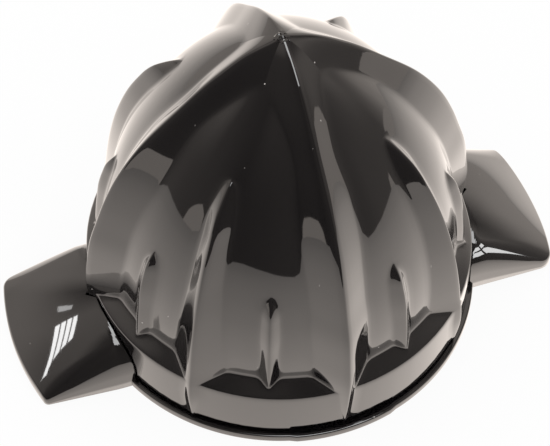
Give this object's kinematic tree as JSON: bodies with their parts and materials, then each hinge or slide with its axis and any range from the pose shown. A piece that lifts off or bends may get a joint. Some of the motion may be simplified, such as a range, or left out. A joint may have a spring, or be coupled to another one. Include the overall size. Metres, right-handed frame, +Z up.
{
  "type": "citrus reamer",
  "caption": "Ribbed citrus reamer: a large fluted cone that lifts off a small ribbed cone on a disc with two sweeping wings and a keyed drive hub.",
  "frame": {"origin": "centre of the underside, on the axis about which the reamer is driven", "axes": "+Z up along the axis to the tip, the two wings along +X and -X, the two rim tabs along +Y and -Y"},
  "size_m": [0.1058, 0.0762, 0.0714],
  "materials": {
    "cone_plastic": "polished black moulding",
    "base_plastic": "polished black moulding"
  },
  "bodies": {
    "winged_cone": {"winged_cone": "base_plastic"},
    "large_cone": {"large_cone": "cone_plastic"}
  },
  "joints": [
    {"name": "cone_lift", "type": "slide", "parent": "winged_cone", "child": "large_cone", "axis": [0, 0, 1], "range_m": [0, 0.06]}
  ]
}
